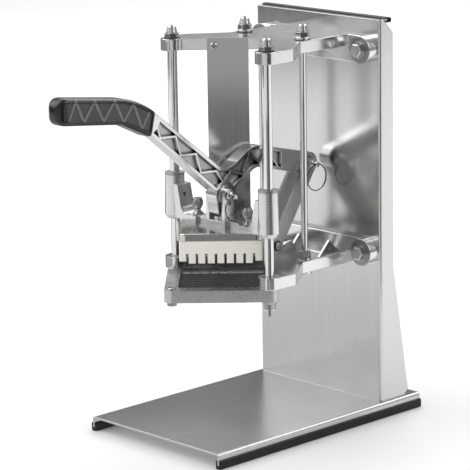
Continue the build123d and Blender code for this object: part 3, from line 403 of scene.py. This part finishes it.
# ---------------------------------------------------------------------- the cast brackets
# Aluminium castings, tumbled and polished all over, so the shine is deep but never flat.
# A tool has turned a flat spot round each of the bolts that hold them to the panel.
def casting(name, dark, light, rough, wavy=0.0001, edge=0.0012, spots=()):
    """Aluminium casting with a worked surface and soft edges, and the shades of its skin.

    spots are the X, Z and radius of faces that a tool has turned flat round a bolt, on
    both sides of the middle.
    """
    material, place, shader = finish_named(name)
    ripple = place.noise(55.0, 2.0)
    skin = place.noise(1100.0, 3.0)
    wheel = place.stretched((300, 300, 900), (0.5, 0.3, 0.2)).noise(1.0, 3.0)
    tone = (ripple * 0.7 + skin * 0.3).between(dark, light)
    shine = rough + ripple * 0.06 + wheel * 0.06
    height = ripple + skin * 0.05
    # the tool's rings, in radians for each metre outwards, and how rough it leaves the metal
    ring_pace, turned_rough = 2600.0, 0.32
    for across, up, radius in spots:
        front_on = abs(place.node("ShaderNodeNewGeometry", {}, {}, "Normal").part("Y")) > 0.9
        off = abs(place.part("X")) - across
        rise = place.part("Z") - up
        away = (off * off + rise * rise) ** 0.5
        turned = (away < radius) * front_on
        rings = away.math("SINE", away * ring_pace, 0.0) * 0.5 + 0.5
        tone = turned.between(tone, rings.between(grey(0.30, 0), grey(0.44)))
        shine = turned.blend(shine, turned_rough)
    put(shader, Base_Color=tone, Metallic=1.0, Roughness=shine,
        Normal=relief(height, wavy, 1.0, deburred(place, edge)))
    return material


bolt_across, bolt_heights, spot_radius = 0.0715, (0.1750, 0.3857), 0.0139
bolt_spots = [(bolt_across, height, spot_radius) for height in bolt_heights]
dress(casting("polished aluminium bracket", grey(0.68), grey(0.82), 0.11, spots=bolt_spots),
      "upper_bracket", "lower_bracket")
dress(casting("satin aluminium frame", grey(0.48), grey(0.59), 0.22, 0.00002, 0.0003),
      "blade_frame")


# --------------------------------------------------------------- rods and their cap nuts
# Ground and chromed round bar between the brackets; the carriage runs on the two thick
# ones.  A closed nut holds the upper end of each, over a lock washer.
chrome, place, shader = finish_named("chromed bar")
ground = place.stretched((60, 60, 2500)).noise(1.0, 2.0)
smudge = place.noise(25.0, 3.0)
put(shader,
    Base_Color=ground.between(grey(0.70, 0), grey(0.80, 0)),
    Metallic=1.0,
    Roughness=0.04 + ground * 0.04 + smudge * 0.04,
    Normal=relief(ground, 0.000004, 0.4))
dress(chrome, "guide_rod_left", "guide_rod_right", "tie_rod_left", "tie_rod_right")
dress(turned_steel("chromed cap nut", grey(0.66, 0), grey(0.80, 0), 0.05, 0.002), "cap_nuts")


# ------------------------------------------------------------------- the splash guards
# Thin steel strips polished to a mirror, which close the sides of the V behind the cutting
# head.  A screw holds each to the upper bracket, and a stud and nut to the lower one.
mirror, place, shader = finish_named("polished strip")
haze = place.noise(30.0, 3.0)
rolled = place.stretched((500, 500, 5)).noise(1.0, 2.0)
put(shader,
    Base_Color=(haze * 0.5 + rolled * 0.5).between(grey(0.42, 0), grey(0.52, 0)),
    Metallic=1.0,
    Roughness=0.12 + haze * 0.06 + rolled * 0.05,
    Normal=relief(place.noise(18.0, 1.0), 0.0006, 0.2))
dress(mirror, "splash_guard_left", "splash_guard_right")


def lofted(name, rows):
    """A closed mesh through rows of points, smooth along its sides and flat at both ends."""
    shell = bmesh.new()
    loops = [[shell.verts.new(spot) for spot in row] for row in rows]
    for lower, upper in zip(loops[:-1], loops[1:]):
        for k in range(len(lower)):
            shell.faces.new((lower[k - 1], lower[k], upper[k], upper[k - 1]))
    shell.faces.new(loops[-1])
    shell.faces.new(loops[0][::-1])
    bmesh.ops.recalc_face_normals(shell, faces=shell.faces)
    for face in shell.faces:
        face.smooth = len(face.verts) == 4
    mesh = bpy.data.meshes.new(name)
    shell.to_mesh(mesh)
    shell.free()
    return mesh


# The guards' screws: a pair of domed heads, each with a cross pressed into it.  One head is
# turned here, and the tree cuts the cross, leans it onto its strip and mirrors it.
screw_radius, dome_height, dome_fullness, dome_steps, dome_sides = 0.004, 0.0021, 0.6, 6, 32
screw_shank, shank_length = 0.0019, 0.0047
outline = [(screw_shank, -shank_length), (screw_shank, 0.0)]
for i in range(dome_steps):
    turn = pi / 2 * i / dome_steps
    outline.append((screw_radius * cos(turn) ** dome_fullness, dome_height * sin(turn)))
round_turns = [2 * pi * k / dome_sides for k in range(dome_sides)]
screw_dome = lofted("screw_dome", [
    [(reach * cos(turn), reach * sin(turn), rise) for turn in round_turns]
    for reach, rise in outline])

crossed = Shape("crossed heads", Slot=0.0009, Span=0.0046, Bottom=0.0009, Tall=0.003,
                Lean=(0.0, 0.0, 0.3), Turn=(0.0, 0.0, 0.0), Centre=(0.0, 0.0, 0.0))
head = crossed.size("Geometry")
slot, span, tall = crossed.size("Slot"), crossed.size("Span"), crossed.size("Tall")
lift = head.node("ShaderNodeCombineXYZ", {}, {"Z": crossed.size("Bottom") + tall * 0.5})
arms = []
for wide, deep in ((span, slot), (slot, span)):
    block = head.node("ShaderNodeCombineXYZ", {}, {"X": wide, "Y": deep, "Z": tall})
    cutter = head.node("GeometryNodeMeshCube", {}, {"Size": block})
    arms.append(head.node("GeometryNodeTransform", {}, {
        "Geometry": cutter, "Translation": lift, "Rotation": crossed.size("Lean")}))
head = head.node("GeometryNodeMeshBoolean", {"operation": "DIFFERENCE"}, {
    "Mesh 1": head, "Mesh 2": arms})
head = head.node("GeometryNodeTransform", {}, {
    "Geometry": head, "Rotation": crossed.size("Turn"), "Translation": crossed.size("Centre")})
twin = head.node("GeometryNodeTransform", {}, {"Geometry": head, "Scale": (-1.0, 1.0, 1.0)})
crossed.close(head.node("GeometryNodeJoinGeometry", {}, {"Geometry": [head, twin]}))
guard_screw_place = (-0.033945, 0.036825, 0.3917)
guard_heads = crossed.grow("guard_screw_heads", "stand", "fastener_steel", bright_steel,
                           screw_dome, Turn=(pi / 2, 0.0, pi / 4), Centre=guard_screw_place)
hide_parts("guard_screws")


# --------------------------------------------------------------- the blades in their frame
# Two layers of ground strip steel, crossed, let into a cast frame.  Starch dulls them, so
# they look dark between their bright cutting edges.
blade_steel, place, shader = finish_named("ground blade steel")
scratches = place.stretched((900, 900, 60)).noise(1.0, 2.0)
ground_face = scratches.between(grey(0.10, 0), grey(0.22, 0))
# painted shade: the colour darkens deep between the blades, by how open each spot is
blade_gap_shade = open_air(place, 0.008)
put(shader,
    Base_Color=blade_gap_shade.between((0.04, 0.04, 0.042), ground_face),
    Metallic=1.0,
    Roughness=0.30 + scratches * 0.15,
    Normal=relief(scratches, 0.00001, 0.4))
dress(blade_steel, "blades_lower", "blades_upper")


# ------------------------------------------------------------------------ the push block
# Warm white moulded plastic, slotted so that its fingers pass between the blades.  The
# bottoms of the slots are painted darker, a painted shade.
white_plastic, place, shader = finish_named("white moulded block")
clouds = place.noise(35.0, 3.0)
pitted = place.noise(420.0, 4.0, 0.6)
# painted shade: the colour darkens towards the bottoms of the slots, by how open each spot is
slot_shade = open_air(place, 0.006).ramp((0.15, 0.0), (0.8, 1.0))
moulded = (clouds * 0.5 + pitted * 0.5).between((0.86, 0.83, 0.75), (0.98, 0.96, 0.89))
put(shader,
    Base_Color=slot_shade.between((0.16, 0.15, 0.13), moulded),
    Roughness=0.40 + clouds * 0.14,
    Normal=relief(pitted, 0.00012, 0.5, deburred(place, 0.0006)))
dress(white_plastic, "push_block")


# ------------------------------------------------------------------------- the carriage
# One casting with two bored sleeves, which slide on the thick rods, and wings that join
# them to the bridge.  Grey bearing sleeves show at the top as narrow turned rings, and the
# machined pusher plate hangs under the bridge.
dress(casting("satin aluminium carriage", grey(0.67), grey(0.79), 0.20, 0.00001, 0.0004),
      "carriage")
dress(turned_steel("grey bearing sleeve", grey(0.34), grey(0.46), 0.26, 0.0015), "sleeve_bushes")
dress(casting("machined pusher plate", grey(0.52), grey(0.61), 0.09, 0.000002, 0.0008),
      "pusher_plate")

# the hand screws' heads, turned, with a knurled band pressed round each
hand_steel = turned_steel("hand screw steel", grey(0.30, 0), grey(0.42), 0.18, 0.002)
dress(hand_steel, "thumb_screw_left", "thumb_screw_right")
band_low, band_thickness, band_radius = 0.2307, 0.0046, 0.0055
for side in ("left", "right"):
    centre = middle_of("thumb_screw_" + side)[0]
    toothed.grow("hand_screw_band_" + side, "thumb_screw_" + side, "fastener_steel", hand_steel,
                 dots("band_" + side, (centre.x, centre.y, band_low)), Teeth=32,
                 Radius=band_radius, Depth=0.0003, Bore=0.0045, Thickness=band_thickness)


# -------------------------------------------------------------------- lever, links and pins
# The lever is an aluminium casting.  Its rims and its ribs' tops are linished bright, and
# the pockets between them keep the dull skin of the mould.
pocket_floor = 0.0068     # side faces nearer to the middle than this are a pocket's floor
leg_top = 0.2405          # and below this the leg is left nearly as cast
lever_skin, place, shader = finish_named("linished lever casting")
sunk = (abs(place.part("X")) < pocket_floor) * (facing_x(place) > 0.9)
pocket = sunk.math("MAXIMUM", sunk, (place.part("Z") < leg_top) * 0.9)
ripple = place.noise(60.0, 2.0)
skin = place.noise(900.0, 3.0)
wheel = place.stretched((60, 1400, 1400), (0.67, 0.0, 0.0)).noise(1.0, 2.0)
# painted shade: the colour darkens in the creases along the rims and ribs, as dark outlines
crease_shade = open_air(place, 0.003).ramp((0.45, 0.0), (0.9, 1.0))
linished = (ripple * 0.5 + wheel * 0.5).between(grey(0.66), grey(0.80))
metal = pocket.between(linished, skin.between(grey(0.50), grey(0.64)))
put(shader,
    Base_Color=crease_shade.between(grey(0.06, 0), metal),
    Metallic=1.0,
    Roughness=pocket.blend(0.14 + wheel * 0.10, 0.34 + skin * 0.12),
    Normal=relief(ripple * 0.6 + skin * 0.1, 0.00004, 1.0, deburred(place, 0.0009)))
dress(lever_skin, "lever_arm")

bronze, place, shader = finish_named("sintered bronze bush")
grains = place.noise(700.0, 3.0)
put(shader,
    Base_Color=grains.between((0.36, 0.27, 0.15), (0.52, 0.40, 0.24)),
    Metallic=1.0,
    Roughness=0.34 + grains * 0.2)
dress(bronze, "lever_bushes")

# The links are flat bar: ground grey on both sides, and left sawn along the edges.
bar_steel, place, shader = finish_named("grey link bar")
sawn = facing_x(place) < 0.5
ground = place.stretched((900, 60, 60)).noise(1.0, 3.0)
worn = place.noise(120.0, 3.0)
put(shader,
    Base_Color=sawn.between(worn.between(grey(0.57), grey(0.69)),
                            worn.between(grey(0.14, 0), grey(0.24))),
    Metallic=1.0,
    Roughness=sawn.blend(0.26 + worn * 0.10, 0.50),
    Normal=relief(ground, 0.00001, 0.5, deburred(place, 0.0003)))
dress(bar_steel, "link_left", "link_right")

dress(blackened, "link_clips")

# The pins' split rings: spring wire wound twice round and sprung into the pin's head.
coil_steps, wire_sides, wire_share = 72, 10, 0.72
wound = Shape("wound ring", Radius=0.01, Wire=0.0004, Turns=1.9)
ring = wound.size("Radius")
wire = wound.size("Wire")
spiral = ring.node("GeometryNodeCurveSpiral", {}, {
    "Resolution": coil_steps, "Rotations": wound.size("Turns"), "Start Radius": ring,
    "End Radius": ring, "Height": wire * 2.0})
spiral = spiral.node("GeometryNodeTransform", {}, {
    "Geometry": spiral, "Translation": ring.node("ShaderNodeCombineXYZ", {}, {"Z": 0.0 - wire})})
spiral = spiral.node("GeometryNodeTransform", {}, {
    "Geometry": spiral, "Rotation": (0.0, pi / 2, 0.0)})
section = ring.node("GeometryNodeCurvePrimitiveCircle", {"mode": "RADIUS"}, {
    "Resolution": wire_sides, "Radius": wire})
coil = spiral.node("GeometryNodeCurveToMesh", {}, {
    "Curve": spiral, "Profile Curve": section, "Fill Caps": True})
coil = coil.node("GeometryNodeSetShadeSmooth", {}, {"Geometry": coil})
wound.close(wound.size("Geometry").node("GeometryNodeInstanceOnPoints", {}, {
    "Points": wound.size("Geometry"), "Instance": coil}))
spring_wire = turned_steel("spring wire", grey(0.09, 0), grey(0.18), 0.16, 0.001)
for name in ("pivot_ring", "rear_ring"):
    centre, half = middle_of(name)
    coil_wire = half.x * wire_share
    ring_piece = wound.grow(name + "_wound", name, "fastener_steel", spring_wire,
                            dots(name, centre), Radius=half.z - coil_wire, Wire=coil_wire)
    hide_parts(name)


# ------------------------------------------------------------------------------- the grip
# Black plastic moulded over the lever's tang: a glossy rim and a rounded end, and sunk
# sides, dull and a bit rubbed, that a zigzag of ribs stiffens.
grip_pivot = Vector((0.0, 0.010, 0.2475))
# corners about the pivot in millimetres, and the radius that rounds each
grip_corners = ((-216.0, 100.0, 11.0), (-216.0, 126.9, 11.0), (-116.6, 113.9, 100.0),
                (-93.6, 98.8, 2.0), (-99.9, 73.4, 2.0), (-136.0, 90.5, 40.0))
# rows across the grip: how far the end, the sides and the mouth step in, and its half width
grip_rows = ((0.0, 0.0, 0.0, 5.6), (0.35, 0.35, 0.1, 7.5), (1.3, 1.3, 0.2, 9.2),
             (2.6, 2.6, 0.4, 10.1), (4.2, 3.6, 0.7, 10.45), (9.0, 4.0, 2.4, 10.5),
             (10.6, 4.4, 3.0, 10.2), (11.2, 4.8, 3.4, 9.2))
corner_steps, least_radius = 8, 1.0
# over this length the end narrows to this share of the width
bulb_length, bulb_width = 13.0, 0.45


def stepped_in(corners, insets):
    """The corners of an outline after each of its edges has moved inwards."""
    count = len(corners)
    edges = []
    for i, inset in enumerate(insets):
        start, end = Vector(corners[i][:2]), Vector(corners[(i + 1) % count][:2])
        along = (end - start).normalized()
        edges.append((start + Vector((along.y, -along.x)) * inset, along))
    moved = []
    for i, corner in enumerate(corners):
        (a, u), (b, v) = edges[i - 1], edges[i]
        cross = u.x * v.y - u.y * v.x
        spot = a + u * (((b.x - a.x) * v.y - (b.y - a.y) * v.x) / cross)
        radius = corner[2] - max(insets[i - 1], insets[i]) * (1 if cross < 0 else -1)
        moved.append((spot.x, spot.y, max(radius, least_radius)))
    return moved


def rounded(corners):
    """An outline's points, with an arc in place of each corner."""
    points = []
    for i, (x, y, radius) in enumerate(corners):
        spot = Vector((x, y))
        back = (Vector(corners[i - 1][:2]) - spot).normalized()
        ahead = (Vector(corners[(i + 1) % len(corners)][:2]) - spot).normalized()
        half_turn = back.angle(ahead) / 2
        reach = radius / tan(half_turn)
        middle = spot + (back + ahead).normalized() * (radius / sin(half_turn))
        first, last = spot + back * reach - middle, spot + ahead * reach - middle
        full = first.angle(last)
        for k in range(corner_steps + 1):
            share = k / corner_steps
            swing = first * sin((1 - share) * full) + last * sin(share * full)
            points.append(middle + swing / sin(full))
    return points


def grip_point(spot, width):
    """From the grip's side view to the machine; the end narrows to a rounded bulb."""
    bulb = min(1.0, max(0.0, (spot.x - grip_corners[0][0]) / bulb_length))
    narrow = bulb_width + (1 - bulb_width) * (1 - (1 - bulb) ** 2) ** 0.5
    return grip_pivot + Vector((width * narrow, spot.x, spot.y)) / 1000


sides = []
for side, rows in ((-1, grip_rows[::-1]), (1, grip_rows)):
    for end, edge, mouth, width in rows:
        corners = stepped_in(grip_corners, (end, edge, edge, mouth, edge, edge))
        sides.append([grip_point(spot, side * width) for spot in rounded(corners)])
grip_mesh = lofted("lever_grip_moulded", sides)
grip = bpy.data.objects.new("lever_grip_moulded", grip_mesh)
bpy.context.scene.collection.objects.link(grip)

grip_black, place, shader = finish_named("black moulded grip")
leathery = place.noise(1500.0, 3.0)
rubbed = place.noise(40.0, 3.0)
sunk = (abs(place.part("X")) < 0.0098) * (facing_x(place) > 0.97)
put(shader,
    Base_Color=sunk.between(rubbed.between(grey(0.006, 0), grey(0.014, 0)),
                            rubbed.between(grey(0.045, 0), grey(0.075, 0))),
    Roughness=sunk.blend(0.20 + rubbed * 0.10, 0.46 + rubbed * 0.10),
    Normal=relief(leathery, 0.00005, 0.5))
grip_mesh.materials.append(grip_black)
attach(grip, "lever")
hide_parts("lever_grip")

# the ribs: a zigzag wire of points, thickened into bars that lie half in the sunk side
grip_zigzag = ((-203.4, 104.0), (-194.4, 122.3), (-184.8, 100.3), (-170.8, 119.2), (-160.3, 97.4),
               (-145.7, 116.0), (-135.0, 93.5), (-121.6, 110.3), (-111.5, 83.7), (-101.5, 98.6))
bend_steps, rib_sides = 5, 12
ribbed = Shape("moulded ribs", Halfwidth=0.0017, Corner=0.0009)
path = ribbed.size("Geometry")
path = path.node("GeometryNodeMeshToCurve", {}, {"Mesh": path})
path = path.node("GeometryNodeFilletCurve", {"mode": "POLY"}, {
    "Curve": path, "Count": bend_steps, "Radius": ribbed.size("Corner")})
section = path.node("GeometryNodeCurvePrimitiveCircle", {"mode": "RADIUS"}, {
    "Resolution": rib_sides, "Radius": ribbed.size("Halfwidth")})
bars = path.node("GeometryNodeCurveToMesh", {}, {
    "Curve": path, "Profile Curve": section, "Fill Caps": True})
ribbed.close(bars.node("GeometryNodeSetShadeSmooth", {}, {"Geometry": bars}))
# in millimetres: the grip's half width, its sunk sides, and the bars' middles under those
grip_half, side_sunk, rib_sunk = 10.5, 1.3, 0.5
rib_across = grip_half - side_sunk - rib_sunk
rib_lines = bpy.data.meshes.new("grip_rib_lines")
points, edges = [], []
for side in (-1, 1):
    edges += [(len(points) + k, len(points) + k + 1) for k in range(len(grip_zigzag) - 1)]
    points += [grip_pivot + Vector((side * rib_across, along, up)) / 1000
               for along, up in grip_zigzag]
rib_lines.from_pydata(points, edges, [])
# painted highlight: the ribs are a lighter grey than the sunk sides they stand on
rib_highlight, place, shader = finish_named("grip rib, painted highlight")
rubbed = place.noise(60.0, 3.0)
put(shader,
    Base_Color=rubbed.between(grey(0.14, 0), grey(0.21, 0)),
    Roughness=0.32 + rubbed * 0.14,
    Normal=relief(place.noise(1500.0, 3.0), 0.00005, 0.5))
ribbed.grow("lever_grip_ribs", "lever", "grip_plastic", rib_highlight, rib_lines)


# --------------------------------------------------------------------------- the studio
# A pale floor under a faint sky and three broad soft lamps.  Glowing cards stand round the
# machine that show only as painted reflections, and the camera looks down at the machine's front
# corner.
floor_half = 12.0
floor_mesh = bpy.data.meshes.new("studio_floor")
floor_corners = [(-floor_half, -floor_half, 0), (floor_half, -floor_half, 0),
                 (floor_half, floor_half, 0), (-floor_half, floor_half, 0)]
floor_mesh.from_pydata(floor_corners, [], [(0, 1, 2, 3)])
studio_floor = bpy.data.objects.new("studio_floor", floor_mesh)
bpy.context.scene.collection.objects.link(studio_floor)
floor_paint, place, shader = finish_named("pale floor")
put(shader,
    Base_Color=place.noise(3.0).between(grey(0.86, 0), grey(0.88, 0)),
    Roughness=0.7)
floor_mesh.materials.append(floor_paint)

sky = bpy.data.worlds.new("studio")
bpy.context.scene.world = sky
sky.use_nodes = True
backdrop = sky.node_tree.nodes["Background"]
direction = Grain(sky.node_tree.nodes.new("ShaderNodeTexCoord").outputs["Generated"])


def toward(heading):
    """How much a direction of the sky points to a heading, from -1 to 1."""
    aim = (cos(radians(heading)), sin(radians(heading)), 0.0)
    return direction.node("ShaderNodeVectorMath", {"operation": "DOT_PRODUCT"}, {
        0: direction, 1: aim}, "Value")


bright_heading = 226
glow = direction.node("ShaderNodeMapRange", {"interpolation_type": "SMOOTHSTEP"}, {
    "Value": toward(bright_heading), "From Min": -0.2, "From Max": 0.9,
    "To Min": 0.30, "To Max": 0.62})
sky.node_tree.links.new(glow.socket, backdrop.inputs["Color"])
backdrop.inputs["Strength"].default_value = 1.0


def soft_light(name, place, aim, size, power):
    """A large rectangular lamp that faces a point."""
    lamp = bpy.data.lights.new(name, "AREA")
    lamp.shape = "RECTANGLE"
    lamp.size, lamp.size_y = size
    lamp.energy = power
    holder = bpy.data.objects.new(name, lamp)
    bpy.context.scene.collection.objects.link(holder)
    holder.location = place
    holder.rotation_euler = (Vector(aim) - Vector(place)).to_track_quat("-Z", "Y").to_euler()


soft_light("key", (-1.9, -1.5, 2.6), (-0.4, -0.3, 0.0), (3.6, 3.6), 84)
soft_light("back", (-0.9, 2.4, 2.6), (-0.4, 0.8, 0.0), (4.2, 2.4), 86)
soft_light("side", (2.4, 1.2, 2.2), (0.4, 0.3, 0.0), (2.4, 2.4), 38)


def card(name, points, quads, shades):
    """A glowing card that shows only in what is polished, a painted reflection, in one shade near
    and one far away.
    """
    mesh = bpy.data.meshes.new(name)
    mesh.from_pydata(points, [], quads)
    holder = bpy.data.objects.new(name, mesh)
    bpy.context.scene.collection.objects.link(holder)
    glow_card, where, card_shader = finish_named(name)
    near, far = 0.25, 0.95
    away = (where.part("X") * where.part("X") + where.part("Y") * where.part("Y")) ** 0.5
    put(card_shader,
        Base_Color=(0, 0, 0, 1),
        Roughness=1.0,
        Emission_Color=away.ramp((near, shades[0]), (far, shades[1])),
        Emission_Strength=1.0)
    mesh.materials.append(glow_card)
    holder.visible_camera = holder.visible_diffuse = holder.visible_shadow = False


def flag(name, start, end, radius, low, high, shade):
    """A glowing card, seen only in reflections, that stands curved round the machine, from one
    heading to another in degrees.
    """
    steps = 12
    ring = [radians(start + (end - start) * i / steps) for i in range(steps + 1)]
    points = [(radius * cos(turn), radius * sin(turn), z) for turn in ring for z in (low, high)]
    quads = [(2 * i, 2 * i + 2, 2 * i + 3, 2 * i + 1) for i in range(steps)]
    card(name, points, quads, (shade, shade))


# painted reflections: glowing cards, dark or grey, that only polished faces show
flag("flag_right", -33, 3, 0.62, 0.0, 0.6, 0.07)
flag("flag_back", 84, 188, 0.66, 0.0, 0.4, 0.12)
flag("flag_low", -62, -33, 0.5, 0.0, 0.25, 0.26)
flag("flag_far", 204, 248, 1.6, 0.1, 0.56, 0.12)
# a glowing card on the floor under the machine, seen only in reflections and darker near it: a
# painted reflection that reaches out to the front and the left
floor_card_low, floor_card_right, floor_card_back, floor_card_lift = -1.1, 0.13, 0.14, 0.001
glow_card = [(floor_card_low, floor_card_low, floor_card_lift), (floor_card_right, floor_card_low, floor_card_lift),
         (floor_card_right, floor_card_back, floor_card_lift), (floor_card_low, floor_card_back, floor_card_lift)]
card("floor_reflection_card", glow_card, [(0, 1, 2, 3)], (0.66, 1.02))

camera_data = bpy.data.cameras.new("camera")
camera_data.sensor_width = 36.0
camera_data.lens = 192.8
camera = bpy.data.objects.new("camera", camera_data)
bpy.context.scene.collection.objects.link(camera)
heading, dip, roll = radians(46.28), radians(12.98), radians(-0.95)
ahead = Vector((-sin(heading) * cos(dip), cos(heading) * cos(dip), -sin(dip)))
level = Vector((cos(heading), sin(heading), 0))
upward = level.cross(ahead)
right = cos(roll) * level + sin(roll) * upward
above = cos(roll) * upward - sin(roll) * level
camera_place = Vector((1.80651, -1.69761, 0.77775))
camera.matrix_world = Matrix.Translation(camera_place) @ Matrix(
    (right, above, -ahead)).transposed().to_4x4()
bpy.context.scene.camera = camera
bpy.context.scene.view_settings.view_transform = "Standard"
